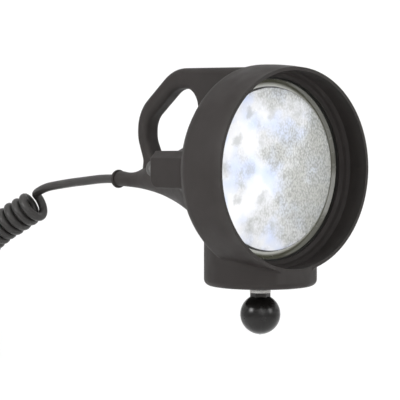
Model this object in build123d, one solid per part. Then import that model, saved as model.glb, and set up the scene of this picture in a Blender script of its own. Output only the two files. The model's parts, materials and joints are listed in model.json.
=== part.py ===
from build123d import *
import math
import os

# A handheld LED spotlight on a one inch mounting ball, in millimetres.
# Origin: the centre of the ball. +Z is up, the beam leaves along -Y and the cord along +Y.

# Mounting ball and its stud
BALL_R = 12.7
BALL_CORE_R = 9.3
HEX_FLATS = 11.11
HEX_TOP_Z = 17.2
STUD_R = 3.9
STUD_TOP_Z = 29.8
FOOT_Z = 18.5
FOOT_R = 35.7
FOOT_EDGE_R = 4.0
FOOT_TOP_Z = 62.0
FOOT_ROOT_R = 2.2
PLATE_R = 24.0
PLATE_Z = (23.0, 25.6)
NUT_FLATS = 13.0
NUT_TOP_Z = 30.2

# Hood and lamp seat, turned about the lamp axis. Distances along it are y.
LAMP_Z = 91.9
LIP_Y = -33.3
LIP_R = 63.2
LIP_BORE_R = 61.1
CROWN_Y = -4.0
CROWN_R = 65.5
SHOULDER_R = 8.0
SHOULDER_TURN = 49.0
GROOVE_R = 60.2
GROOVE_Y = (-12.0, -3.0)
SEAT_BORE_R = 54.5
BELL_MOUTH_Y = 5.2

# Bell behind the hood: (y, outer radius, height of the centre)
BELL = [
    (11.0, 52.4, 91.4),
    (20.0, 42.0, 90.5),
    (35.0, 33.8, 87.3),
    (50.0, 27.6, 85.4),
    (65.0, 21.7, 85.3),
    (80.0, 16.7, 85.2),
    (95.0, 12.4, 84.7),
    (110.0, 9.1, 84.0),
    (125.0, 5.8, 82.3),
    (139.6, 5.1, 82.3),
    (147.2, 5.0, 82.3),
]
BELL_WALL_SLANT = [4.4, 4.4, 3.4, 3.2, 3.1, 3.0, 2.9, 3.0]

# Cord nipple with the thin bead round its end
CORD_R = 3.2
CORD_BORE_R = 3.25
CORD_Z = 82.3
BEAD_R = 6.5
BEAD_Y = (146.6, 148.8)
JACKET_START_Y = 98.0
JACKET_END_Y = 143.0
FERRULE_Y = (100.0, 106.0)

# D handle: one flat loop in the plane of symmetry
HANDLE_WIDTH = 12.5
HANDLE_EDGE_R = 3.8
WEB_ROOT_R = 3.0

# Switch box on the left side, and its push switch
BOX_X = -51.0
BOX_Y = (6.0, 48.3)
BOX_Z = (79.8, 103.2)
BOX_WALL = 2.5
BOX_ROOT_R = 5.0
SWITCH_X = -42.0
SWITCH_Z = 91.8
SWITCH_R = 6.2
BUSHING_R = 4.9
BUTTON_R = 5.45
CAP_RIM_Y = 51.0
CAP_TOP_Y = 58.6
BLADE_OFFSET = 3.6

# Sealed lamp
LENS_R = 57.2
TEXTURE_R = 51.3
LENS_FACE_Y = -11.8
OPTIC_PITCH = 20.0
OPTIC_R = 9.2
BOARD_R = 48.2
BOARD_Y = (4.2, 5.8)
DRIVER_Y = (13.0, 14.6)
TERMINAL_X = 8.0
LAMP_BACK_Y = 31.0

# Supply cord: straight, curly, then straight down to the plug
COIL_R = 12.8
PLUG_TOP_Z = -155.0


def turned(points, radii=None, place=None):
    """A turned solid from (radius, along) corners, with an optional fillet for each corner."""
    if radii:
        outline = FilletPolyline(*points, radius=radii, close=True)
    else:
        outline = Polyline(*points, close=True)
    solid = revolve(make_face(Plane.XZ * outline), Axis.Z)
    return (place or LAMP_AXIS) * solid


def along_y(x, z):
    """A place whose own Z runs rearwards, parallel to the lamp axis."""
    return Plane(origin=(x, 0, z), x_dir=(1, 0, 0), z_dir=(0, 1, 0))


LAMP_AXIS = along_y(0, LAMP_Z)
CORD_AXIS = along_y(0, CORD_Z)
SWITCH_AXIS = along_y(SWITCH_X, SWITCH_Z)


def rod(radius, start, end, place):
    """A cylinder between two distances along a place's own Z."""
    return place * Pos(0, 0, start) * Cylinder(
        radius, end - start, align=(Align.CENTER, Align.CENTER, Align.MIN)
    )


def hexagon(flats, start, end, place):
    """A hexagonal prism, given across its flats."""
    side = RegularPolygon(flats / math.sqrt(3), 6)
    return place * Pos(0, 0, start) * extrude(side, end - start)


def block(x, y, z):
    """A box between pairs of limits."""
    return Pos(sum(x) / 2, sum(y) / 2, sum(z) / 2) * Box(x[1] - x[0], y[1] - y[0], z[1] - z[0])


def tube(points, radii, radius):
    """A round bar that follows straight runs joined by tangent arcs."""
    path = FilletPolyline(*points, radius=radii)
    section = Plane(origin=path @ 0, z_dir=path % 0) * Circle(radius)
    return sweep(section, path=path)


def easy_radii(points):
    """The largest arc that both runs beside each corner allow, for every corner."""
    radii = []
    for before, here, after in zip(points, points[1:], points[2:]):
        run_in = Vector(*here) - Vector(*before)
        run_out = Vector(*after) - Vector(*here)
        turn = math.radians(run_in.get_angle(run_out))
        radii.append(0.45 * min(run_in.length, run_out.length) / math.tan(turn / 2))
    return radii


# Rubber housing -------------------------------------------------------------------------


def hood_blank():
    """The crowned barrel of the hood, solid, from the lip to the rounded shoulder."""
    turn = math.radians(SHOULDER_TURN)
    end_r = CROWN_R - SHOULDER_R * (1 - math.cos(turn))
    end_y = CROWN_Y + SHOULDER_R * math.sin(turn)
    half_r = CROWN_R - SHOULDER_R * (1 - math.cos(turn / 2))
    half_y = CROWN_Y + SHOULDER_R * math.sin(turn / 2)
    outline = [
        Line((0, LIP_Y), (LIP_R, LIP_Y)),
        ThreePointArc((LIP_R, LIP_Y), (CROWN_R - 0.6, -19.0), (CROWN_R, CROWN_Y)),
        ThreePointArc((CROWN_R, CROWN_Y), (half_r, half_y), (end_r, end_y)),
        Line((end_r, end_y), (0, end_y)),
        Line((0, end_y), (0, LIP_Y)),
    ]
    face = make_face([Plane.XZ * edge for edge in outline])
    return LAMP_AXIS * revolve(face, Axis.Z), (end_y, end_r, LAMP_Z)


def bell_loft(sections):
    """A smooth solid through circles given as (y, radius, height of the centre)."""
    return loft([along_y(0, z) * Pos(0, 0, y) * Circle(r) for y, r, z in sections])


def handle():
    """The D handle with its web: one flat loop with rounded edges."""
    outer = [
        (0, 140), (0, 156.0), (81.4, 157.8), (119.9, 129.5), (119.9, 110.5),
        (113.9, 96.0), (115.5, 86.0), (60, 82), (30, 100),
    ]
    outer_radii = [0, 0, 34, 26, 22, 6, 0, 0, 0]
    hole = [(52, 100), (57.5, 144), (79.9, 144), (108.9, 122.8), (108.9, 110.5), (98, 90)]
    hole_radii = [0, 14, 20, 13, 13, 0]
    outline = make_face(FilletPolyline(*outer, radius=outer_radii, close=True))
    outline -= make_face(FilletPolyline(*hole, radius=hole_radii, close=True))
    side_view = Plane(origin=(-HANDLE_WIDTH / 2, 0, 0), x_dir=(0, 1, 0), z_dir=(1, 0, 0))
    plate = extrude(side_view * outline, HANDLE_WIDTH)
    sides = plate.faces().sort_by(Axis.X)
    edges = sides[0].edges() + sides[-1].edges()
    return fillet([edge for edge in edges if not buried(edge.center())], HANDLE_EDGE_R)


def buried(point):
    """Whether a point of the handle's outline lies inside the hood or the bell."""
    return (point.Y < 20 and point.Z < 150) or (point.Y < 110 and point.Z < 96)


def switch_box():
    """The box behind the hood's left side, sloped along its top and round at its low corner."""
    body = block((BOX_X, -12), BOX_Y, BOX_Z)
    low_back = body.edges().filter_by(Axis.X).filter_by_position(Axis.Z, 79, 80)
    body = fillet(low_back.sort_by(Axis.Y)[-1], 6.5)
    top_left = body.edges().filter_by(Axis.Y).sort_by(Axis.Z)[-2:].sort_by(Axis.X)[0]
    body = chamfer(top_left, 4.5)
    back = body.faces().filter_by(Axis.Y).sort_by(Axis.Y)[-1]
    left = body.faces().filter_by(Axis.X).sort_by(Axis.X)[0]
    return fillet(back.edges() + left.edges().filter_by(Axis.Y), 1.4)


def joined(body, added, radius, keep=lambda edge: True):
    """Both solids in one, with a fillet along the border that they share, where keep says so."""

    def touches(solid, point):
        return min(face.distance_to(Vertex(*point)) for face in solid.faces()) < 0.02

    both = body + added
    border = []
    for edge in both.edges():
        points = [edge @ t for t in (0.1, 0.37, 0.5, 0.81)]
        if keep(edge) and all(touches(body, p) and touches(added, p) for p in points):
            border.append(edge)
    return fillet(border, radius)


def lamp_cavity():
    """The hood's mouth, the ridge before the lamp, the groove for its rim, and the bell inside."""
    mouth = turned(
        [
            (0, LIP_Y - 5), (LIP_BORE_R, LIP_Y - 5), (LIP_BORE_R, LIP_Y), (62.0, -18.6),
            (60.5, -16.6), (59.8, -14.4), (57.4, -13.2), (57.4, GROOVE_Y[0]), (GROOVE_R, GROOVE_Y[0]),
            (GROOVE_R, GROOVE_Y[1]), (SEAT_BORE_R, GROOVE_Y[1]), (SEAT_BORE_R, BELL_MOUTH_Y),
            (0, BELL_MOUTH_Y),
        ],
        radii=[0, 0, 0, 0.8, 1.0, 1.0, 0.6, 0, 0, 0, 0, 0, 0],
    )
    inside = [(y, r - slant, z) for (y, r, z), slant in zip(BELL, BELL_WALL_SLANT)]
    return mouth + bell_loft([(BELL_MOUTH_Y, SEAT_BORE_R, LAMP_Z)] + inside)


def rubber_housing():
    """One rubber moulding: hood, bell, nipple, switch box, foot and D handle."""
    hood, shoulder = hood_blank()
    foot = rod(FOOT_R, FOOT_Z, FOOT_TOP_Z, Plane.XY)
    foot = fillet(foot.edges().sort_by(Axis.Z)[0], FOOT_EDGE_R)
    bead = turned(
        [(0, BEAD_Y[0]), (BEAD_R, BEAD_Y[0]), (BEAD_R, BEAD_Y[1]), (0, BEAD_Y[1])],
        radii=[0, 1.0, 1.0, 0],
        place=CORD_AXIS,
    )
    body = joined(hood + bell_loft([shoulder] + BELL), switch_box(), BOX_ROOT_R)
    body = joined(body, foot, FOOT_ROOT_R)
    body = joined(body, handle(), WEB_ROOT_R, keep=lambda edge: edge.length > 50) + bead
    box_inside = block(
        (BOX_X + BOX_WALL, -18), (18.0, BOX_Y[1] - BOX_WALL), (BOX_Z[0] + 3.2, BOX_Z[1] - 4.6)
    )
    body -= lamp_cavity() + box_inside
    body -= rod(CORD_BORE_R, 104, BEAD_Y[1] + 1, CORD_AXIS)
    body -= rod(BUSHING_R + 0.1, 40, BOX_Y[1] + 1, SWITCH_AXIS)
    body -= rod(STUD_R + 0.2, FOOT_Z - 1, PLATE_Z[0], Plane.XY)
    body -= rod(PLATE_R + 0.1, PLATE_Z[0], PLATE_Z[1], Plane.XY)
    return body - rod(NUT_FLATS / math.sqrt(3) + 0.1, PLATE_Z[1], NUT_TOP_Z, Plane.XY)


# Foot and ball --------------------------------------------------------------------------


def foot_plate():
    """Steel disc moulded into the foot."""
    return rod(PLATE_R, *PLATE_Z, Plane.XY) - rod(STUD_R + 0.1, 0, 40, Plane.XY)


def foot_nut():
    """Hexagonal nut on top of the plate."""
    nut = hexagon(NUT_FLATS, PLATE_Z[1], NUT_TOP_Z, Plane.XY)
    return nut - rod(STUD_R + 0.05, 0, 40, Plane.XY)


def stud_washer():
    """Bright washer between the hexagon and the rubber foot."""
    return rod(5.7, HEX_TOP_Z, FOOT_Z, Plane.XY) - rod(STUD_R + 0.1, 0, 40, Plane.XY)


def ball_stud():
    """Steel stud: round core, hexagonal neck and threaded shank."""
    neck = hexagon(HEX_FLATS, 6.0, HEX_TOP_Z, Plane.XY * Rot(0, 0, 20))
    return Sphere(BALL_CORE_R) + neck + rod(STUD_R, HEX_TOP_Z, STUD_TOP_Z, Plane.XY)


def ball_cover():
    """Glossy rubber ball moulded over the core, open round the hexagon."""
    hollow = Sphere(BALL_CORE_R + 0.05)
    return Sphere(BALL_R) - hollow - hexagon(HEX_FLATS + 0.1, 5.0, 20.0, Plane.XY * Rot(0, 0, 20))


# Lamp -----------------------------------------------------------------------------------


def lamp_gasket():
    """Rubber ring, a U in section, round the lamp's rim."""
    return turned([
        (56.4, -11.9), (60.0, -11.9), (60.0, -3.1), (55.2, -3.1),
        (55.2, -3.9), (57.35, -3.9), (57.35, -11.1), (56.4, -11.1),
    ])


def lamp_lens():
    """Clear lens: a raised plateau for the pebbled face, and a clear rim that rises outwards."""
    return turned([
        (0, LENS_FACE_Y), (TEXTURE_R - 0.4, LENS_FACE_Y), (TEXTURE_R, LENS_FACE_Y + 0.4),
        (TEXTURE_R, -8.0), (51.8, -8.0), (51.8, -9.0), (54.3, -9.2), (56.2, -11.0),
        (LENS_R, -11.0), (LENS_R, -5.5), (49.0, -5.5), (48.6, -9.0), (0, -9.0),
    ])


def lamp_shell():
    """Aluminium bowl with a ledge for the circuit board and holes for the terminals."""
    bowl = turned([
        (LENS_R, -5.4), (LENS_R, -4.0), (54.0, -4.0), (54.0, 0), (50.6, 5.8), (45.0, 12.0),
        (35.5, 20.0), (26.0, 27.0), (22.0, LAMP_BACK_Y), (0, LAMP_BACK_Y), (0, 29.0), (20.2, 29.0),
        (24.2, 25.6), (33.0, 18.5), (42.0, 10.8), (43.5, 5.8), (48.5, 5.8), (48.5, 4.0),
        (51.5, -1.0), (51.5, -5.4),
    ])
    for x in (-TERMINAL_X, TERMINAL_X):
        bowl -= rod(4.5, 20, 40, along_y(x, LAMP_Z))
    for x, z in ring_places(45.6, 3, 30):
        bowl -= rod(1.25, 5, 8.6, along_y(x, z))
    return bowl


def ring_places(radius, count, first_angle):
    """Points (x, z) evenly round the lamp axis."""
    turns = [math.radians(first_angle + 360 * k / count) for k in range(count)]
    return [(radius * math.cos(a), LAMP_Z + radius * math.sin(a)) for a in turns]


def optic_places():
    """Nineteen points on a hexagonal grid: the centre and two rings."""
    inner = ring_places(OPTIC_PITCH, 6, 0)
    corners = ring_places(2 * OPTIC_PITCH, 6, 0)
    middles = ring_places(math.sqrt(3) * OPTIC_PITCH, 6, 30)
    return [(0, LAMP_Z)] + inner + corners + middles


def optic_plate():
    """Clear plate with nineteen cone optics."""
    plate = rod(50.8, -4.9, -3.4, LAMP_AXIS)
    for x, z in optic_places():
        cone = [(0, -3.4), (OPTIC_R, -3.4), (4.2, 2.6), (0, 2.6)]
        plate += turned(cone, place=along_y(x, z))
    return plate


def led_emitters():
    """Nineteen emitters on the circuit board."""
    return Compound([
        block((x - 1.75, x + 1.75), (3.0, BOARD_Y[0]), (z - 1.75, z + 1.75)) for x, z in optic_places()
    ])


def led_board():
    """Round circuit board that carries the emitters."""
    board = rod(BOARD_R, *BOARD_Y, LAMP_AXIS)
    for x, z in ring_places(45.6, 3, 30):
        board -= rod(1.35, 0, 10, along_y(x, z))
    return board


def board_screws():
    """Three screws that hold the board on the ledge."""
    screws = []
    for x, z in ring_places(45.6, 3, 30):
        place = along_y(x, z)
        screws.append(rod(2.5, 2.6, BOARD_Y[0], place) + rod(1.2, BOARD_Y[0], 8.5, place))
    return Compound(screws)


def driver_standoffs():
    """Three posts between the two circuit boards."""
    posts = ring_places(26, 3, 90)
    return Compound([rod(2.0, BOARD_Y[1], DRIVER_Y[0], along_y(x, z)) for x, z in posts])


def driver_board():
    """Circuit board of the current driver."""
    return rod(30.0, *DRIVER_Y, LAMP_AXIS)


def driver_parts():
    """Inductor, two capacitors and a chip on the driver board."""
    inductor = turned(
        [(3.0, DRIVER_Y[1]), (7.0, DRIVER_Y[1]), (7.0, 20.5), (3.0, 20.5)], place=along_y(0, LAMP_Z + 10)
    )
    capacitors = [rod(4.0, DRIVER_Y[1], 23.0, along_y(x, LAMP_Z - 8)) for x in (-12, 12)]
    chip = block((-4, 4), (DRIVER_Y[1], 16.2), (LAMP_Z - 6, LAMP_Z + 1))
    return Compound([inductor, *capacitors, chip])


def terminal_block():
    """Insulating disc on the lamp's back, with a sleeve round each terminal."""
    disc = rod(14.0, LAMP_BACK_Y, 33.5, LAMP_AXIS)
    for x in (-TERMINAL_X, TERMINAL_X):
        disc += rod(4.4, 28.5, LAMP_BACK_Y, along_y(x, LAMP_Z))
        disc -= rod(2.95, 20, 40, along_y(x, LAMP_Z))
    return disc


def lamp_terminals():
    """Two brass posts, tapped for the terminal screws."""
    posts = []
    for x in (-TERMINAL_X, TERMINAL_X):
        place = along_y(x, LAMP_Z)
        posts.append(rod(2.9, 26.0, 37.6, place) - rod(2.05, 33.0, 38.0, place))
    return Compound(posts)


def ring_lug(x):
    """Ring lug with its barrel downwards."""
    place = along_y(x, LAMP_Z)
    ring = rod(4.0, 37.6, 38.4, place)
    tongue = block((x - 1.6, x + 1.6), (37.6, 38.4), (LAMP_Z - 8.5, LAMP_Z - 3))
    barrel = Pos(x, 38.4, LAMP_Z - 10.5) * Cylinder(1.7, 5.0)
    return ring + tongue + barrel - rod(2.1, 30, 45, place)


def ring_lugs():
    """The two ring lugs under the terminal screws."""
    return Compound([ring_lug(-TERMINAL_X), ring_lug(TERMINAL_X)])


def terminal_screws():
    """Two pan head screws in the lamp's terminals."""
    screws = []
    for x in (-TERMINAL_X, TERMINAL_X):
        place = along_y(x, LAMP_Z)
        screws.append(rod(3.4, 38.4, 40.6, place) + rod(2.0, 33.2, 38.4, place))
    return Compound(screws)


# Wiring inside --------------------------------------------------------------------------

LUG_END_Z = LAMP_Z - 13.0
CORE_R = 1.0
LEADS = {
    "lead_supply": [
        (-40.5, 24.5, SWITCH_Z + BLADE_OFFSET), (-35.2, 24.5, SWITCH_Z + BLADE_OFFSET),
        (-31, 34, 94), (-18, 54, 89), (-6, 76, 85), (-1.3, 90, CORD_Z),
        (-1.3, JACKET_START_Y, CORD_Z),
    ],
    "lead_switched": [
        (-40.5, 24.5, SWITCH_Z - BLADE_OFFSET), (-35.2, 24.5, SWITCH_Z - BLADE_OFFSET),
        (-31, 31, 87.4), (-22, 40, 84), (-14, 46, 78), (-8.5, 44, 70),
        (-TERMINAL_X, 38.4, 70.5), (-TERMINAL_X, 38.4, LUG_END_Z),
    ],
    "lead_return": [
        (TERMINAL_X, 38.4, LUG_END_Z), (TERMINAL_X, 38.4, 70.5), (TERMINAL_X, 44, 69.5),
        (6, 58, 74), (3, 76, 80), (1.3, 90, CORD_Z), (1.3, JACKET_START_Y, CORD_Z),
    ],
}


def lead(points):
    """An insulated wire with easy bends."""
    return tube(points, easy_radii(points), CORE_R)


def cord_jacket_end():
    """The stripped end of the cord inside the nipple."""
    return rod(CORD_R, JACKET_START_Y, JACKET_END_Y, CORD_AXIS)


def cord_ferrule():
    """Crimped collar that keeps the cord from pulling out."""
    return rod(4.6, *FERRULE_Y, CORD_AXIS) - rod(CORD_R + 0.05, 90, 120, CORD_AXIS)


# Push switch ----------------------------------------------------------------------------


def switch_body():
    """Round switch case with its bushing, its chamber and slots for the blades."""
    case = rod(SWITCH_R, 27.0, BOX_Y[1] - BOX_WALL, SWITCH_AXIS)
    case += rod(BUSHING_R, BOX_Y[1] - BOX_WALL, 49.0, SWITCH_AXIS)
    case -= rod(4.8, 30.0, 43.5, SWITCH_AXIS) + rod(2.5, 40, 50, SWITCH_AXIS)
    for side in (-1, 1):
        z = SWITCH_Z + side * BLADE_OFFSET
        case -= block((SWITCH_X - 1.6, SWITCH_X + 1.6), (20, 31), (z - 0.4, z + 0.4))
    return case


def switch_blades():
    """Two brass blades from the chamber to the solder ends."""
    blades = []
    for side in (-1, 1):
        z = SWITCH_Z + side * BLADE_OFFSET
        blades.append(block((SWITCH_X - 1.5, SWITCH_X + 1.5), (22.0, 37.4), (z - 0.35, z + 0.35)))
    return Compound(blades)


def boot_nut():
    """Hexagonal nut that holds the switch and the foot of the sealing cap."""
    nut = hexagon(13.2, BOX_Y[1], 52.0, SWITCH_AXIS)
    nut = chamfer(nut.faces().sort_by(Axis.Y)[-1].edges(), 0.8)
    return nut - rod(BUTTON_R + 0.3, 49.0, 60, SWITCH_AXIS) - rod(BUSHING_R + 0.05, 40, 60, SWITCH_AXIS)


def button_cap():
    """Domed rubber cap that the thumb presses."""
    dome = turned(
        [(0, CAP_RIM_Y), (BUTTON_R, CAP_RIM_Y), (BUTTON_R, CAP_TOP_Y), (0, CAP_TOP_Y)],
        radii=[0, 0, 3.4, 0],
        place=SWITCH_AXIS,
    )
    return dome - rod(4.1, 50, 56.0, SWITCH_AXIS)


def switch_plunger():
    """Rod and flange under the cap."""
    return rod(2.2, 42.0, 56.0, SWITCH_AXIS) + rod(4.4, 40.5, 42.0, SWITCH_AXIS)


def contact_bridge():
    """Brass disc on the plunger that joins the two blades."""
    return rod(4.2, 40.0, 40.5, SWITCH_AXIS)


def coil_spring(radius, wire_r, start, end, turns, place):
    """A helical spring between two distances along a place's own Z."""
    height = end - start - 2 * wire_r
    path = Helix(pitch=height / turns, height=height, radius=radius)
    section = Plane(origin=path @ 0, z_dir=path % 0) * Circle(wire_r)
    return place * Pos(0, 0, start + wire_r) * sweep(section, path=path)


def switch_spring():
    """Return spring of the button."""
    return coil_spring(2.2, 0.3, 30.0, 40.0, 6, SWITCH_AXIS)


# Cord -----------------------------------------------------------------------------------


# The curly stretch leaves rearwards and down, and then hangs under its own weight.
COIL_ROUTE = [
    (-1, 247, 61.5), (-11.6, 267, 48.7), (-22.3, 286.8, 33.8), (-28.3, 297.9, 6.6),
    (-29.4, 299.7, -29.3), (-29.2, 299.3, -70.3), (-29.1, 299.1, -111),
]


def cord_coil():
    """The curly stretch as one fat tube of its outer diameter."""
    return tube(COIL_ROUTE, easy_radii(COIL_ROUTE), COIL_R)


# The first point lies inside the nipple, the last one on top of the first turn of the coil.
TAIL_ROUTE = [
    (0, JACKET_END_Y, CORD_Z), (0, 163.5, CORD_Z), (0, 184, 80.2), (0, 204, 78.3),
    (0, 222, 76.1), (-0.5, 237, 74.0), (-3.0, 250.6, 70.0),
]


def cord_tail():
    """The straight stretch of the cord from the nipple to the coil."""
    return tube(TAIL_ROUTE, easy_radii(TAIL_ROUTE), CORD_R)


def plug_place():
    """A place at the top of the plug whose own Z points down."""
    x, y, _ = COIL_ROUTE[-1]
    return Plane(origin=(x, y, PLUG_TOP_Z), x_dir=(1, 0, 0), z_dir=(0, 0, -1))


def end_route():
    """Route of the last straight stretch, from the coil's lowest turn to the plug."""
    x, y, z = COIL_ROUTE[-1]
    turn_r = COIL_R - CORD_R
    return [
        (x, y + turn_r, z), (x, y + turn_r, z - 9), (x, y + 7.2, z - 19), (x, y + 2.3, z - 29),
        (x, y, z - 39), (x, y, PLUG_TOP_Z - 5),
    ]


def cord_end():
    """The last straight stretch of the cord, into the plug's boot."""
    return tube(end_route(), easy_radii(end_route()), CORD_R)


# Plug. Distances are measured down from its top. ----------------------------------------

GRIP_TOP = 22.0
GRIP_END = 42.0
BARREL_END = 78.0
GRIP_R = 12.4
BARREL_R = 10.3
CAVITY_R = 8.3


def plug_boot():
    """Tapered strain relief with a flange inside the plug's shells."""
    boot = turned(
        [(0, 0), (4.6, 0), (7.6, 21.8), (5.0, 21.8), (5.0, 26.2), (7.6, 26.2), (7.6, 29.0), (0, 29.0)],
        place=plug_place(),
    )
    return boot - rod(CORD_R + 0.05, -1, 8.0, plug_place())


def plug_shells():
    """The plug's two half shells, left and right, with slots for the side contacts."""
    place = plug_place()
    case = turned(
        [
            (5.1, GRIP_TOP), (GRIP_R - 1, GRIP_TOP), (GRIP_R, 30), (GRIP_R, GRIP_END - 2),
            (BARREL_R, GRIP_END), (BARREL_R, BARREL_END), (CAVITY_R, BARREL_END), (CAVITY_R, 26.1),
            (5.1, 26.1),
        ],
        radii=[0, 2.0, 3.0, 1.5, 1.0, 0.8, 0, 0, 0],
        place=place,
    )
    case -= place * Pos(0, 0, 58) * Box(40, 6.8, 18)
    case -= place * Pos(0, 0, 34) * Rot(0, 90, 0) * Cylinder(1.6, 40)
    case -= place * Pos(GRIP_R, 0, 34) * Rot(0, 90, 0) * Cylinder(3.1, 4)
    half = place * Pos(50.03, 0, 50) * Box(100, 100, 200)
    other_half = place * Pos(-50.03, 0, 50) * Box(100, 100, 200)
    return case & other_half, case & half


def plug_screw():
    """The one screw across the grip."""
    shank = Rot(0, 90, 0) * Cylinder(1.5, 22)
    head = Pos(GRIP_R - 1.4, 0, 0) * Rot(0, 90, 0) * Cylinder(2.9, 1.1)
    return plug_place() * Pos(0, 0, 34) * (shank + head)


def nose_cap():
    """Screwed cap that holds the tip and lets the fuse out."""
    return turned(
        [
            (8.2, 70), (8.2, BARREL_END), (9.9, BARREL_END), (9.3, 82), (6.6, 88), (3.6, 88), (3.6, 86),
            (6.0, 86), (6.0, 70),
        ],
        radii=[0, 0, 0.5, 1.5, 0.8, 0, 0, 0, 0],
        place=plug_place(),
    )


def plug_tip():
    """Sprung centre contact."""
    return turned(
        [(0, 84), (5.6, 84), (5.6, 86), (3.3, 86), (3.3, 93), (0, 93)],
        radii=[0, 0, 0, 0, 2.6, 0],
        place=plug_place(),
    )


def fuse_caps():
    """The fuse's two metal caps."""
    place = plug_place()
    upper = rod(3.3, 52, 58, place) - rod(3.0, 52.8, 58, place)
    lower = rod(3.3, 78, 84, place) - rod(3.0, 78, 83.2, place)
    return Compound([upper, lower])


def fuse_glass():
    """The fuse's glass tube."""
    place = plug_place()
    return rod(2.95, 52.9, 83.1, place) - rod(2.3, 50, 90, place)


def tip_spring():
    """Spring that presses the fuse and the tip outwards."""
    return coil_spring(2.9, 0.4, 42.0, 52.0, 5, plug_place())


def spring_plate():
    """Brass plate behind the spring."""
    return rod(7.6, 40.5, 42.0, plug_place())


def side_contact(side):
    """One sprung side contact: a leaf inside, and a bowed face through the shell's slot."""
    bow = extrude(
        Plane.XZ * make_face([
            Line((7.0, 50.5), (7.0, 65.5)),
            ThreePointArc((7.0, 65.5), (12.0, 58.0), (7.0, 50.5)),
        ]),
        3.0,
        both=True,
    )
    leaf = Pos(6.7, 0, 58) * Box(1.4, 6.0, 21)
    contact = bow + leaf
    if side < 0:
        contact = mirror(contact, about=Plane.YZ)
    return plug_place() * contact


# Build ----------------------------------------------------------------------------------

shell_left, shell_right = plug_shells()
parts = {
    "rubber_housing": rubber_housing(),
    "foot_plate": foot_plate(),
    "foot_nut": foot_nut(),
    "stud_washer": stud_washer(),
    "ball_stud": ball_stud(),
    "ball_cover": ball_cover(),
    "lamp_gasket": lamp_gasket(),
    "lamp_lens": lamp_lens(),
    "lamp_shell": lamp_shell(),
    "optic_plate": optic_plate(),
    "led_emitters": led_emitters(),
    "led_board": led_board(),
    "board_screws": board_screws(),
    "driver_standoffs": driver_standoffs(),
    "driver_board": driver_board(),
    "driver_parts": driver_parts(),
    "terminal_block": terminal_block(),
    "lamp_terminals": lamp_terminals(),
    "ring_lugs": ring_lugs(),
    "terminal_screws": terminal_screws(),
    "cord_jacket_end": cord_jacket_end(),
    "cord_ferrule": cord_ferrule(),
    "switch_body": switch_body(),
    "switch_blades": switch_blades(),
    "boot_nut": boot_nut(),
    "button_cap": button_cap(),
    "switch_plunger": switch_plunger(),
    "contact_bridge": contact_bridge(),
    "switch_spring": switch_spring(),
    "cord_tail": cord_tail(),
    "cord_coil": cord_coil(),
    "cord_end": cord_end(),
    "plug_boot": plug_boot(),
    "plug_shell_left": shell_left,
    "plug_shell_right": shell_right,
    "plug_screw": plug_screw(),
    "nose_cap": nose_cap(),
    "plug_tip": plug_tip(),
    "fuse_caps": fuse_caps(),
    "fuse_glass": fuse_glass(),
    "tip_spring": tip_spring(),
    "spring_plate": spring_plate(),
    "side_contact_left": side_contact(-1),
    "side_contact_right": side_contact(1),
}
for name, points in LEADS.items():
    parts[name] = lead(points)
    print(name, "radii", [round(r, 1) for r in easy_radii(points)])
print("cord_tail radii", [round(r, 1) for r in easy_radii(TAIL_ROUTE)])
print("cord_coil radii", [round(r, 1) for r in easy_radii(COIL_ROUTE)])
print("cord_end radii", [round(r, 1) for r in easy_radii(end_route())])

os.makedirs("parts", exist_ok=True)
for name, shape in parts.items():
    export_step(shape, f"parts/{name}.step")
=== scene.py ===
import json
import math

import bpy
import numpy as np
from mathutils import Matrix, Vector, noise


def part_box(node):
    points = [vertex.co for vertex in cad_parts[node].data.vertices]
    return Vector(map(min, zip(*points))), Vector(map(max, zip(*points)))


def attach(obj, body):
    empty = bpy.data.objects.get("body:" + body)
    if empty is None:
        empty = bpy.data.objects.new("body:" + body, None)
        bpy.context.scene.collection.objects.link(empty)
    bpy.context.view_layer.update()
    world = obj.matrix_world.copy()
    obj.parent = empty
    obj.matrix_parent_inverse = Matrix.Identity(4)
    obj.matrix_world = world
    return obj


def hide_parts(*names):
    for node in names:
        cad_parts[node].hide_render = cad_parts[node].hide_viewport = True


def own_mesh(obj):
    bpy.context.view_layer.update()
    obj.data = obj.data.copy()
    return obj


# Looks of a handheld LED spotlight on a one inch ball. Metres, in the CAD frame:
# the ball's centre is the origin, +Z is up, the beam leaves along -Y and the cord along +Y.

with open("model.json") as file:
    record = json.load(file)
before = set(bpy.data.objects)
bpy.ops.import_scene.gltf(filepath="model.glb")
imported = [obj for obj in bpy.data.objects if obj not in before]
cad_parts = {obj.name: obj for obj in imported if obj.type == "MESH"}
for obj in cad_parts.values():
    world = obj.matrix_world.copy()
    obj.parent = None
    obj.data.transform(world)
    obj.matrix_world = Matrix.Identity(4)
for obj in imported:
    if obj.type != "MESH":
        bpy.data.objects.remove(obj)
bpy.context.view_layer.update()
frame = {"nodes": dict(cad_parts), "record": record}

BALL_R = 0.0127
LAMP_Z = 0.0919
FLOOR_Z = -0.45


# Camera ---------------------------------------------------------------------------------

camera = bpy.data.objects.new("camera", bpy.data.cameras.new("camera"))
bpy.context.scene.collection.objects.link(camera)
camera.data.lens = 136.15
camera.data.sensor_width = 36.0
camera.location = (-0.6462, -0.7029, 0.1139)
look_at = Vector((0.0, 0.0590, 0.0703))
camera.rotation_euler = (look_at - camera.location).to_track_quat("-Z", "Y").to_euler()
bpy.context.scene.camera = camera


# Cord -----------------------------------------------------------------------------------

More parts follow.
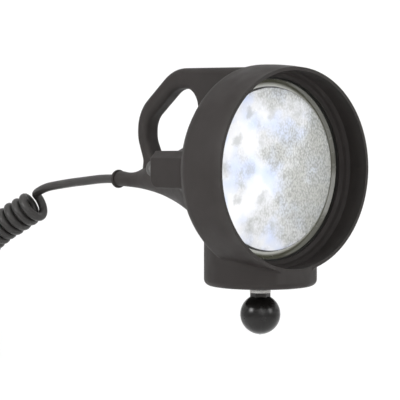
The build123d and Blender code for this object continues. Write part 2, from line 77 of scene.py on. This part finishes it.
CORD_R = 0.0032
COIL_TURN_R = 0.0095
TIGHT_PITCH, LOOSE_PITCH, LOOSE_OVER = 0.0067, 0.0011, 0.045
POINTS_PER_TURN = 14
TAIL_ROUTE = [
    (0, 0.143, 0.0823), (0, 0.1635, 0.0823), (0, 0.184, 0.0802), (0, 0.204, 0.0783),
    (0, 0.222, 0.0761), (-0.0005, 0.237, 0.0740), (-0.0030, 0.2506, 0.0700),
]
COIL_ROUTE = [
    (-0.001, 0.247, 0.0615), (-0.0116, 0.267, 0.0487), (-0.0223, 0.2868, 0.0338),
    (-0.0283, 0.2979, 0.0066), (-0.0294, 0.2997, -0.0293), (-0.0292, 0.2993, -0.0703),
    (-0.0291, 0.2991, -0.111),
]
END_ROUTE = [
    (-0.0291, 0.3087, -0.111), (-0.0291, 0.3087, -0.120), (-0.0291, 0.3063, -0.130),
    (-0.0291, 0.3014, -0.140), (-0.0291, 0.2991, -0.150), (-0.0291, 0.2991, -0.160),
]


def spline_curve(name, points, resolution=12):
    """A curve object of one smooth NURBS spline with these control points."""
    curve = bpy.data.curves.new(name, "CURVE")
    curve.dimensions = "3D"
    spline = curve.splines.new("NURBS")
    spline.points.add(len(points) - 1)
    for point, place in zip(spline.points, points):
        point.co = (*place, 1.0)
    spline.order_u = 3
    spline.use_endpoint_u = True
    spline.resolution_u = resolution
    curve.resolution_u = resolution
    thing = bpy.data.objects.new(name, curve)
    bpy.context.scene.collection.objects.link(thing)
    return thing


def line_of(points):
    """Points along the smooth spline through a route, as numpy rows."""
    helper = spline_curve("helper", points, resolution=24)
    bpy.context.view_layer.update()
    mesh = bpy.data.meshes.new_from_object(helper)
    line = np.array([v.co[:] for v in mesh.vertices])
    bpy.data.meshes.remove(mesh)
    bpy.data.curves.remove(helper.data)
    return line


def pitch_at(s):
    """The winding's pitch: the top turns, which carry the rest, are pulled a little apart."""
    return TIGHT_PITCH + LOOSE_PITCH * math.exp(-s / LOOSE_OVER)


def helix(route, turn_r, first_side, last_side):
    """Turns wound round a line, from the side first_side to the side last_side."""
    line = line_of(route)
    steps = np.linalg.norm(np.diff(line, axis=0), axis=1)
    along = np.concatenate([[0], np.cumsum(steps)])
    total = along[-1]
    tangents = np.gradient(line, along, axis=0)
    tangents /= np.linalg.norm(tangents, axis=1)[:, None]
    side = np.array(first_side, float)
    sides = []
    for tangent in tangents:
        side = side - tangent * side.dot(tangent)
        side /= np.linalg.norm(side)
        sides.append(side)
    sides = np.array(sides)
    ups = np.cross(tangents, sides)
    end = np.array(last_side, float)
    last_angle = math.atan2(end.dot(ups[-1]), end.dot(sides[-1]))
    fine = np.linspace(0, total, 2000)
    wound = np.concatenate([[0], np.cumsum(np.diff(fine) / [pitch_at(s) for s in fine[:-1]])])
    part = last_angle / (2 * math.pi)
    turns = round(wound[-1] - part) + part
    wound *= turns / wound[-1]
    places = []
    for k in range(int(turns * POINTS_PER_TURN) + 1):
        s = np.interp(k / POINTS_PER_TURN, wound, fine)
        here = np.array([np.interp(s, along, line[:, i]) for i in range(3)])
        a = np.array([np.interp(s, along, sides[:, i]) for i in range(3)])
        b = np.array([np.interp(s, along, ups[:, i]) for i in range(3)])
        angle = 2 * math.pi * k / POINTS_PER_TURN
        # The winding is a little uneven, as a coil that has been stretched often
        loose = 1 + 0.018 * math.sin(0.37 * angle + 0.8) + 0.012 * math.sin(0.131 * angle)
        places.append(tuple(here + turn_r * loose * (a * math.cos(angle) + b * math.sin(angle))))
    return places


windings = helix(COIL_ROUTE, COIL_TURN_R, (0, 0, 1), (0, 1, 0))
cord_points = TAIL_ROUTE[:-1] + windings[1:] + END_ROUTE[1:]
cord = spline_curve("supply_cord", cord_points, resolution=6)
cord.data.bevel_depth = CORD_R
cord.data.bevel_resolution = 5
cord.data.use_fill_caps = True


# Materials ------------------------------------------------------------------------------


class Shader:
    """A small helper that adds nodes to one material."""

    def __init__(self, name, color=(0.5, 0.5, 0.5), rough=0.5, metallic=0.0, **sockets):
        self.material = bpy.data.materials.new(name)
        self.material.use_nodes = True
        self.tree = self.material.node_tree
        self.surface = self.tree.nodes["Principled BSDF"]
        self.set("Base Color", (*color, 1.0))
        self.set("Roughness", rough)
        self.set("Metallic", metallic)
        for socket, value in sockets.items():
            self.set(socket.replace("_", " "), value)
        self.coords = self.tree.nodes.new("ShaderNodeTexCoord").outputs["Object"]

    def set(self, socket, value):
        self.surface.inputs[socket].default_value = value

    def link(self, output, socket):
        self.tree.links.new(output, socket)

    def mapped(self, scale=(1, 1, 1), turn=(0, 0, 0), shift=(0, 0, 0)):
        node = self.tree.nodes.new("ShaderNodeMapping")
        node.inputs["Scale"].default_value = scale
        node.inputs["Rotation"].default_value = turn
        node.inputs["Location"].default_value = shift
        self.link(self.coords, node.inputs["Vector"])
        return node.outputs["Vector"]

    def noise(self, scale, detail=3.0, rough=0.5, vector=None):
        node = self.tree.nodes.new("ShaderNodeTexNoise")
        node.inputs["Scale"].default_value = scale
        node.inputs["Detail"].default_value = detail
        node.inputs["Roughness"].default_value = rough
        self.link(vector or self.coords, node.inputs["Vector"])
        return node.outputs["Fac"]

    def cells(self, scale, feature="F1", randomness=1.0, vector=None):
        node = self.tree.nodes.new("ShaderNodeTexVoronoi")
        node.feature = feature
        node.inputs["Scale"].default_value = scale
        node.inputs["Randomness"].default_value = randomness
        self.link(vector or self.coords, node.inputs["Vector"])
        return node.outputs["Distance"]

    def ramp(self, value, stops, smooth=False):
        node = self.tree.nodes.new("ShaderNodeValToRGB")
        ramp = node.color_ramp
        ramp.interpolation = "EASE" if smooth else "LINEAR"
        while len(ramp.elements) < len(stops):
            ramp.elements.new(0.5)
        for element, (position, color) in zip(ramp.elements, stops):
            element.position = position
            element.color = (*color, 1.0) if len(color) == 3 else color
        self.link(value, node.inputs["Fac"])
        return node.outputs["Color"]

    def span(self, value, low, high, source=(0.0, 1.0)):
        node = self.tree.nodes.new("ShaderNodeMapRange")
        node.inputs["From Min"].default_value = source[0]
        node.inputs["From Max"].default_value = source[1]
        node.inputs["To Min"].default_value = low
        node.inputs["To Max"].default_value = high
        self.link(value, node.inputs["Value"])
        return node.outputs["Result"]

    def math(self, operation, a, b=None):
        node = self.tree.nodes.new("ShaderNodeMath")
        node.operation = operation
        for socket, value in zip(node.inputs, (a, b)):
            if value is None:
                continue
            if isinstance(value, (int, float)):
                socket.default_value = value
            else:
                self.link(value, socket)
        return node.outputs["Value"]

    def mix(self, factor, color_a, color_b):
        node = self.tree.nodes.new("ShaderNodeMix")
        node.data_type = "RGBA"
        self.link(factor, node.inputs[0])
        for socket, value in ((node.inputs[6], color_a), (node.inputs[7], color_b)):
            if isinstance(value, tuple):
                socket.default_value = (*value, 1.0)
            else:
                self.link(value, socket)
        return node.outputs[2]

    def bump(self, *heights):
        """Stacked bumps, each (height output, strength, distance in metres)."""
        normal = None
        for height, strength, distance in heights:
            node = self.tree.nodes.new("ShaderNodeBump")
            node.inputs["Strength"].default_value = strength
            node.inputs["Distance"].default_value = distance
            self.link(height, node.inputs["Height"])
            if normal:
                self.link(normal, node.inputs["Normal"])
            normal = node.outputs["Normal"]
        self.link(normal, self.surface.inputs["Normal"])

    def color(self, output):
        self.link(output, self.surface.inputs["Base Color"])

    def rough(self, output):
        self.link(output, self.surface.inputs["Roughness"])

    def painted_edge_highlight(self, low, high):
        """Painted highlight: brighter where the mesh has convex edges."""
        node = self.tree.nodes.new("ShaderNodeNewGeometry")
        return self.span(node.outputs["Pointiness"], 0.0, 1.0, (low, high))


def rubber(name, dark, light, rough=(0.5, 0.66), grain=2600.0, grain_depth=0.00004, spec=0.2):
    """Moulded rubber: fine grain, soft cloudy tone, slightly polished and dusty patches."""
    s = Shader(name, dark, rough[0], Specular_IOR_Level=spec)
    cloud = s.noise(28, 5, 0.6)
    fine = s.noise(grain, 2, 0.5)
    patch = s.noise(90, 4, 0.55)
    s.color(s.mix(s.ramp(cloud, [(0.35, (0, 0, 0)), (0.7, (1, 1, 1))]), dark, light))
    s.rough(s.span(patch, rough[0], rough[1], (0.3, 0.7)))
    s.bump((fine, 0.35, grain_depth), (s.noise(420, 3, 0.5), 0.2, 0.00005))
    return s


def metal(name, color, rough, scratch=(1, 1, 60), depth=0.00001):
    """Worn metal: fine drawn lines, smudges and an uneven polish."""
    s = Shader(name, color, rough, metallic=1.0)
    lines = s.noise(120, 3, 0.6, s.mapped(scratch))
    smudge_and_painted_shade = s.noise(160, 3, 0.5)
    dull = tuple(0.72 * c for c in color)
    s.color(s.mix(s.ramp(smudge_and_painted_shade, [(0.35, (0, 0, 0)), (0.75, (1, 1, 1))]), color, dull))
    s.rough(s.span(smudge_and_painted_shade, rough * 0.75, rough * 1.45, (0.3, 0.7)))
    s.bump((lines, 0.3, depth))
    return s


def plastic(name, color, rough=0.4, grain=1800.0, depth=0.00003, spec=0.5):
    """Moulded plastic: fine spark-eroded grain and faint flow marks."""
    s = Shader(name, color, rough, Specular_IOR_Level=spec)
    flow = s.noise(60, 4, 0.55)
    bright = tuple(min(1.0, 1.25 * c + 0.004) for c in color)
    s.color(s.mix(s.ramp(flow, [(0.35, (0, 0, 0)), (0.75, (1, 1, 1))]), color, bright))
    s.rough(s.span(flow, rough * 0.85, rough * 1.25, (0.3, 0.7)))
    s.bump((s.noise(grain, 2, 0.5), 0.25, depth))
    return s


def housing_material():
    """Warm dark grey rubber with a cloudy tone and pale specks, and a painted highlight that makes
    convex edges paler.
    """
    s = Shader("housing_rubber", (0.02, 0.018, 0.017), 0.55, Specular_IOR_Level=0.14)
    cloud = s.noise(16, 5, 0.6)
    speck = s.cells(900)
    tone = s.ramp(cloud, [(0.32, (0.0165, 0.0140, 0.0132)), (0.72, (0.0225, 0.0195, 0.0184))])
    # Painted highlight: convex edges take a paler colour
    tone = s.mix(s.painted_edge_highlight(0.505, 0.56), tone, (0.026, 0.0235, 0.0222))
    tone = s.mix(s.ramp(speck, [(0.0, (1, 1, 1)), (0.06, (0, 0, 0))]), tone, (0.036, 0.033, 0.031))
    s.color(tone)
    s.rough(s.span(s.noise(70, 4, 0.55), 0.47, 0.64, (0.3, 0.7)))
    s.bump(
        (s.noise(2400, 2, 0.5), 0.35, 0.00005),
        (s.noise(300, 3, 0.5), 0.22, 0.00008),
        (s.noise(34, 2, 0.4), 0.25, 0.0004),
    )
    return s


def clear_material(name):
    """Clear polycarbonate or glass."""
    s = Shader(name, (0.93, 0.95, 0.94), 0.06, Transmission_Weight=1.0, IOR=1.45)
    s.rough(s.span(s.noise(260, 3, 0.5), 0.03, 0.12, (0.3, 0.7)))
    s.bump((s.noise(90, 2, 0.4), 0.12, 0.0002))
    return s


LED_PITCH = 0.020


def distance_to_leds(s, x, z):
    """Distance from the nearest point of the emitters' hexagonal grid."""
    nearest = None
    for shift in (0.0, 0.5):
        squares = []
        for value, pitch in ((x, LED_PITCH), (z, LED_PITCH * math.sqrt(3))):
            cell = s.math("ADD", s.math("DIVIDE", value, pitch), shift)
            off = s.math("MULTIPLY", s.math("SUBTRACT", cell, s.math("ROUND", cell)), pitch)
            squares.append(s.math("MULTIPLY", off, off))
        here = s.math("SQRT", s.math("ADD", *squares))
        nearest = s.math("MINIMUM", nearest, here) if nearest else here
    return nearest


def lens_material():
    """Pebbled lens over silvery cups, with their reflection painted in: whiter and bluish towards -X,
    painted shade over the emitters and between the grains; a painted bright ring on the clear rim, then
    an olive edge.
    """
    s = Shader("lens_clear", (0.8, 0.82, 0.84), 0.2, Specular_IOR_Level=0.6)
    s.set("Coat Weight", 0.5)
    s.set("Coat Roughness", 0.12)
    parts = s.tree.nodes.new("ShaderNodeSeparateXYZ")
    s.link(s.coords, parts.inputs["Vector"])
    x = parts.outputs["X"]
    z = s.math("SUBTRACT", parts.outputs["Z"], LAMP_Z)
    radius = s.math("SQRT", s.math("ADD", s.math("MULTIPLY", x, x), s.math("MULTIPLY", z, z)))
    wobble = s.noise(160, 3, 0.6)
    broad = s.noise(34, 3, 0.55)
    blue_reflection_noise = s.noise(46, 2, 0.5, s.mapped(shift=(0.31, 0.12, 0.55)))
    # 0 at the -X side, 1 at the +X side, with a ragged border; it steers the painted reflection, whiter
    # towards -X
    ragged = s.span(broad, -0.45, 0.45, (0.25, 0.75))
    side = s.math("ADD", s.span(x, 0.0, 1.0, (-0.045, 0.045)), ragged)
    # Painted reflection of the silvery cups: pale towards -X, greyer and olive towards +X
    tone = s.ramp(side, [
        (0.08, (0.80, 0.805, 0.82)), (0.42, (0.66, 0.67, 0.70)), (0.8, (0.40, 0.405, 0.385)),
    ])
    # Painted reflection: bluish patches, fading towards +X
    blue_reflection = s.ramp(blue_reflection_noise, [(0.48, (0, 0, 0)), (0.66, (0.7, 0.7, 0.7))])
    blue_reflection = s.math("MULTIPLY", blue_reflection, s.span(side, 1.0, 0.15, (0.35, 0.85)))
    tone = s.mix(blue_reflection, tone, (0.46, 0.56, 0.84))
    blur = s.span(wobble, -0.0034, 0.0034, (0.3, 0.7))
    led = s.span(s.math("ADD", distance_to_leds(s, x, z), blur), 0.0, 1.0, (0.0, LED_PITCH / 2))
    # Painted shade: darker grey patches centred on the emitters' grid, fading towards +X
    smudge_and_painted_shade = s.ramp(led, [(0.0, (0.55, 0.55, 0.55)), (0.55, (0, 0, 0))], True)
    smudge_and_painted_shade = s.math("MULTIPLY", smudge_and_painted_shade, s.span(side, 1.0, 0.25, (0.3, 0.8)))
    tone = s.mix(smudge_and_painted_shade, tone, (0.30, 0.31, 0.31))
    cells = s.tree.nodes.new("ShaderNodeTexVoronoi")
    cells.feature = "SMOOTH_F1"
    cells.inputs["Scale"].default_value = 820
    cells.inputs["Smoothness"].default_value = 0.5
    s.link(s.mapped((1, 1, 0.8)), cells.inputs["Vector"])
    pebble = cells.outputs["Distance"]
    depth = s.span(pebble, 0.0, 1.0, (0.35, 0.72))
    # Painted shade between the pebbles, strongest towards +X
    painted_grain_shade = s.math("MULTIPLY", depth, s.span(side, 0.02, 0.85, (0.35, 0.75)))
    tone = s.mix(painted_grain_shade, tone, (0.27, 0.28, 0.265))
    ring = s.span(radius, 0.0, 1.0, (0.050, 0.058))
    # Across the rim: a painted dark line at the step, a painted bright ring on the clear rim, then the
    # olive edge darkening to near black
    rim_tint_and_painted_light = s.ramp(ring, [
        (0.17, (0.03, 0.03, 0.027)), (0.24, (0.75, 0.76, 0.72)), (0.36, (0.42, 0.425, 0.38)),
        (0.48, (0.08, 0.08, 0.058)), (0.90, (0.03, 0.03, 0.02)),
    ])
    on_rim = s.ramp(ring, [(0.125, (0, 0, 0)), (0.140, (1, 1, 1))])
    s.color(s.mix(on_rim, tone, rim_tint_and_painted_light))
    s.rough(s.span(s.noise(260, 3, 0.5), 0.14, 0.3, (0.3, 0.7)))
    face = s.math("SUBTRACT", 1.0, s.span(radius, 0.0, 1.0, (0.0505, 0.0509)))
    grainy = s.math("MULTIPLY", face, s.span(side, 0.25, 1.0, (0.3, 0.7)))
    s.bump((s.math("MULTIPLY", pebble, grainy), 0.6, 0.0006))
    return s


MATERIALS = {
    "housing_rubber": housing_material().material,
    "ball_rubber": rubber(
        "ball_rubber", (0.0035, 0.003, 0.0028), (0.006, 0.0055, 0.005), (0.22, 0.30), 900, 0.00001, 0.25
    ).material,
    "gasket_rubber": rubber("gasket_rubber", (0.010, 0.010, 0.009), (0.016, 0.016, 0.015)).material,
    "cap_rubber": rubber("cap_rubber", (0.045, 0.044, 0.043), (0.07, 0.069, 0.067)).material,
    "cord_sheath": rubber(
        "cord_sheath", (0.016, 0.0148, 0.014), (0.024, 0.0225, 0.0212), (0.36, 0.48), 1500, 0.00002, 0.28
    ).material,
    "plate_steel": metal("plate_steel", (0.55, 0.55, 0.56), 0.32).material,
    "washer_steel": metal("washer_steel", (0.28, 0.275, 0.265), 0.24).material,
    "hex_steel": metal("hex_steel", (0.035, 0.033, 0.032), 0.3).material,
    "lamp_aluminium": metal("lamp_aluminium", (0.70, 0.71, 0.72), 0.34).material,
    "brass": metal("brass", (0.74, 0.56, 0.27), 0.3).material,
    "tinned_copper": metal("tinned_copper", (0.68, 0.66, 0.62), 0.33).material,
    "nut_nickel": metal("nut_nickel", (0.16, 0.16, 0.155), 0.42).material,
    "spring_steel": metal("spring_steel", (0.6, 0.6, 0.6), 0.25).material,
    "plug_metal": metal("plug_metal", (0.78, 0.76, 0.71), 0.16).material,
    "lens_clear": lens_material().material,
    "fuse_glass": clear_material("fuse_glass").material,
    "optic_clear": plastic("optic_clear", (0.9, 0.92, 0.95), 0.15, 700).material,
    "led_phosphor": plastic("led_phosphor", (0.85, 0.76, 0.36), 0.35).material,
    "board_white": plastic("board_white", (0.80, 0.82, 0.84), 0.4).material,
    "board_green": plastic("board_green", (0.03, 0.16, 0.07), 0.35).material,
    "parts_dark": plastic("parts_dark", (0.04, 0.04, 0.045), 0.4).material,
    "block_plastic": plastic("block_plastic", (0.05, 0.05, 0.05), 0.45).material,
    "plug_plastic": plastic("plug_plastic", (0.014, 0.014, 0.014), 0.32).material,
    "lead_red": plastic("lead_red", (0.42, 0.03, 0.02), 0.4).material,
    "lead_black": plastic("lead_black", (0.02, 0.02, 0.02), 0.4).material,
}


def cad(name):
    """The object of a CAD node."""
    return frame["nodes"][name]


for entry in frame["record"]["subparts"]:
    node = cad(entry["node"])
    node.data.materials.clear()
    node.data.materials.append(MATERIALS[entry["material_slot"]])

cord.data.materials.append(MATERIALS["cord_sheath"])
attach(cord, "housing")
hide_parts("cord_tail", "cord_coil", "cord_end")


# Details --------------------------------------------------------------------------------


def piece(name, points, faces, slot, body="housing", smooth=True):
    """A mesh piece that rides on a body and takes a slot's finish."""
    mesh = bpy.data.meshes.new(name)
    mesh.from_pydata([tuple(p) for p in points], [], faces)
    mesh.polygons.foreach_set("use_smooth", [smooth] * len(faces))
    mesh.materials.append(MATERIALS[slot])
    mesh.update()
    thing = bpy.data.objects.new(name, mesh)
    bpy.context.scene.collection.objects.link(thing)
    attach(thing, body)
    return thing


def pebbled_face():
    """The lens's pebbled disc: soft grains about a millimetre across, real relief."""
    rings, around = 96, 300
    outer_r, front_y = 0.0509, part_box("lamp_lens")[0][1] - 0.0001
    points = [(0.0, front_y, LAMP_Z)]
    for i in range(1, rings + 1):
        r = outer_r * i / rings
        for k in range(around):
            a = 2 * math.pi * k / around
            x, z = r * math.cos(a), r * math.sin(a)
            grain = noise.noise(Vector((x, z, 0.3)) * 900)
            grain += 0.5 * noise.noise(Vector((z, x, 0.7)) * 1700)
            relief = 0.00008 * grain if i < rings else 0.0
            points.append((x, front_y - relief, LAMP_Z + z))
    faces = [(0, 1 + (k + 1) % around, 1 + k) for k in range(around)]
    for i in range(rings - 1):
        a, b = 1 + i * around, 1 + (i + 1) * around
        for k in range(around):
            n = (k + 1) % around
            faces.append((a + k, a + n, b + n, b + k))
    return piece("pebbled_face", points, faces, "lens_clear")


def ridge_ring(name, profile, place, slot):
    """A small ridge turned about a line; place turns (angle, radius, along) into a point."""
    around = 96
    points = [place(2 * math.pi * k / around, r, t) for k in range(around) for r, t in profile]
    n = len(profile)
    faces = []
    for k in range(around):
        here, there = k * n, ((k + 1) % around) * n
        faces += [(here + i, there + i, there + i + 1, here + i + 1) for i in range(n - 1)]
    return piece(name, points, faces, slot)


def stud_point(a, r, z):
    """A point round the stud's axis, from its angle, its radius and its height."""
    return (r * math.cos(a), r * math.sin(a), z)


def stud_collar():
    """The bright collar between the hexagon and the foot's washer."""
    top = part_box("stud_washer")[0][2]
    profile = [
        (0.0058, top - 0.0037), (0.0063, top - 0.0037), (0.0066, top - 0.0034),
        (0.0066, top - 0.0003), (0.0063, top), (0.0057, top),
    ]
    ridge_ring("stud_collar", profile, stud_point, "washer_steel")


def ball_seam():
    """The mould line over the ball, from one side of the neck to the other, and its gate mark."""
    seam_turn = math.radians(-130.0)
    out = Vector((math.cos(seam_turn), math.sin(seam_turn), 0))
    across = Vector((-math.sin(seam_turn), math.cos(seam_turn), 0))
    profile = [
        (BALL_R - 0.00002, -0.0003), (BALL_R + 0.0001, -0.00014), (BALL_R + 0.00014, 0.0),
        (BALL_R + 0.0001, 0.00014), (BALL_R - 0.00002, 0.0003),
    ]
    steps, open_half = 80, math.radians(31)
    points, faces = [], []
    for k in range(steps + 1):
        a = math.pi / 2 + open_half + (2 * math.pi - 2 * open_half) * k / steps
        along = out * math.cos(a) + Vector((0, 0, 1)) * math.sin(a)
        points += [along * r + across * t for r, t in profile]
    n = len(profile)
    for k in range(steps):
        here, there = k * n, (k + 1) * n
        faces += [(here + i, here + i + 1, there + i + 1, there + i) for i in range(n - 1)]
    piece("ball_seam", points, faces, "ball_rubber")
    gate = [
        (0.0009, 0.00004 - BALL_R), (0.0008, -0.00012 - BALL_R), (0.0005, -0.00018 - BALL_R),
        (0.00001, -0.0002 - BALL_R),
    ]
    ridge_ring("ball_gate", gate, stud_point, "ball_rubber")


PLUG_X, PLUG_Y, PLUG_TOP = -0.0291, 0.2991, -0.155
GRIP_R = 0.01235
GRIP_RIBS = 24


def plug_point(a, r, down):
    """A point of the plug from its angle, its radius and its distance below the plug's top."""
    return (PLUG_X + r * math.cos(a), PLUG_Y + r * math.sin(a), PLUG_TOP - down)


def boot_ridges():
    """Rings moulded round the plug's strain relief."""
    for k in range(4):
        down = 0.004 + 0.0042 * k
        r = 0.0046 + 0.003 * down / 0.0218
        profile = [
            (r - 0.0003, down - 0.0010), (r + 0.0003, down - 0.0006), (r + 0.00055, down),
            (r + 0.00045, down + 0.0006), (r - 0.0001, down + 0.0010),
        ]
        ridge_ring(f"boot_ridge_{k}", profile, plug_point, "gasket_rubber")


def grip_ribs():
    """Rounded finger ribs round the plug's grip, clear of its joint and its screw."""
    points, faces = [], []
    section = [(-0.055, -0.0002), (-0.04, 0.0003), (0.0, 0.0005), (0.04, 0.0003), (0.055, -0.0002)]
    stations = [(0.0275, 0.0), (0.0290, 1.0), (0.0375, 1.0), (0.0392, 0.0)]
    for k in range(GRIP_RIBS):
        middle = 2 * math.pi * (k + 0.5) / GRIP_RIBS
        if min(abs(math.sin(middle)), abs(math.cos(middle))) < 0.2:
            continue
        start = len(points)
        for down, lift in stations:
            for turn, proud in section:
                r = GRIP_R + (proud if lift else -0.0003)
                points.append(plug_point(middle + turn, r, down))
        for i in range(len(stations) - 1):
            for j in range(len(section) - 1):
                a = start + i * len(section) + j
                faces.append((a, a + 1, a + 1 + len(section), a + len(section)))
    return piece("grip_ribs", points, faces, "plug_plastic")


def wire_spring(name, node, axis, wire_r, turns):
    """A coil spring in a CAD spring's place, which is hidden."""
    low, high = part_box(node)
    middle = (low + high) / 2
    spine = [i for i in range(3) if axis[i]][0]
    across = [i for i in range(3) if i != spine]
    start, end = low[spine] + wire_r, high[spine] - wire_r
    coil_r = (high[across[0]] - low[across[0]]) / 2 - wire_r
    steps, around = turns * 24, 8
    points = []
    for k in range(steps + 1):
        angle = 2 * math.pi * turns * k / steps
        out = Vector((0, 0, 0))
        out[across[0]], out[across[1]] = math.cos(angle), math.sin(angle)
        centre = middle + coil_r * out
        centre[spine] = start + (end - start) * k / steps
        for j in range(around):
            turn = 2 * math.pi * j / around
            points.append(centre + wire_r * (math.cos(turn) * out + math.sin(turn) * Vector(axis)))
    faces = []
    for k in range(steps):
        for j in range(around):
            n = (j + 1) % around
            here, there = k * around, (k + 1) * around
            faces.append((here + j, here + n, there + n, there + j))
    last = steps * around
    faces += [tuple(reversed(range(around))), tuple(range(last, last + around))]
    spring = piece(name, points, faces, "spring_steel")
    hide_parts(node)
    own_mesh(spring)


pebbled_face()
wire_spring("return_spring", "switch_spring", (0, 1, 0), 0.0003, 6)
wire_spring("nose_spring", "tip_spring", (0, 0, 1), 0.0004, 5)
stud_collar()
ball_seam()
boot_ridges()
grip_ribs()


# Stage ----------------------------------------------------------------------------------


def area_light(name, place, target, size, power, color=(1, 1, 1)):
    """A soft rectangular light that faces a point."""
    data = bpy.data.lights.new(name, "AREA")
    data.shape = "RECTANGLE"
    data.size, data.size_y = size
    data.energy = power
    data.color = color
    light = bpy.data.objects.new(name, data)
    light.location = place
    light.rotation_euler = (Vector(target) - Vector(place)).to_track_quat("-Z", "Y").to_euler()
    bpy.context.scene.collection.objects.link(light)
    return light


world = bpy.data.worlds.new("studio")
world.use_nodes = True
world.node_tree.nodes["Background"].inputs["Color"].default_value = (1, 1, 1, 1)
world.node_tree.nodes["Background"].inputs["Strength"].default_value = 1.0
bpy.context.scene.world = world
bpy.context.scene.view_settings.view_transform = "Standard"


SWEEP_R, SWEEP_BEND_R, SWEEP_TOP = 3.0, 1.4, 2.6


def sweep_profile():
    """The paper sweep as (distance, height): flat, then a quarter turn up into a low wall."""
    flat = [(SWEEP_R * k / 3, FLOOR_Z) for k in range(4)]
    bend = [
        (SWEEP_R + SWEEP_BEND_R * math.sin(a), FLOOR_Z + SWEEP_BEND_R * (1 - math.cos(a)))
        for a in (math.radians(90 * k / 16) for k in range(1, 17))
    ]
    return flat + bend + [(SWEEP_R + SWEEP_BEND_R, FLOOR_Z + SWEEP_TOP)]


def paper_sweep(material):
    """A round sweep of pale paper under and round the object."""
    around = 72
    profile = sweep_profile()
    mesh = bpy.data.meshes.new("paper_sweep")
    points, faces = [], []
    for k in range(around):
        a = 2 * math.pi * k / around
        points += [(r * math.cos(a), r * math.sin(a), z) for r, z in profile]
    n = len(profile)
    for k in range(around):
        here, there = k * n, ((k + 1) % around) * n
        faces += [(here + i, there + i, there + i + 1, here + i + 1) for i in range(n - 1)]
    mesh.from_pydata(points, [], faces)
    mesh.polygons.foreach_set("use_smooth", [True] * len(faces))
    mesh.materials.append(material)
    thing = bpy.data.objects.new("paper_sweep", mesh)
    bpy.context.scene.collection.objects.link(thing)
    return thing


paper = Shader("paper", (0.95, 0.95, 0.95), 0.9, Specular_IOR_Level=0.2)
paper.bump((paper.noise(8, 3, 0.5), 0.04, 0.001))
paper_sweep(paper.material)

area_light("key_left", (-1.50, 0.30, 0.75), (0, 0.02, 0.09), (0.6, 0.6), 19)
area_light("fill_right", (0.55, -1.45, 0.55), (0, 0, 0.04), (0.5, 0.5), 7)
area_light("front_soft", (-0.95, -1.55, 0.80), (0, 0, 0.08), (1.3, 1.3), 12)
area_light("top", (-0.1, 0.2, 1.7), (0, 0.05, 0.08), (1.0, 1.0), 5)
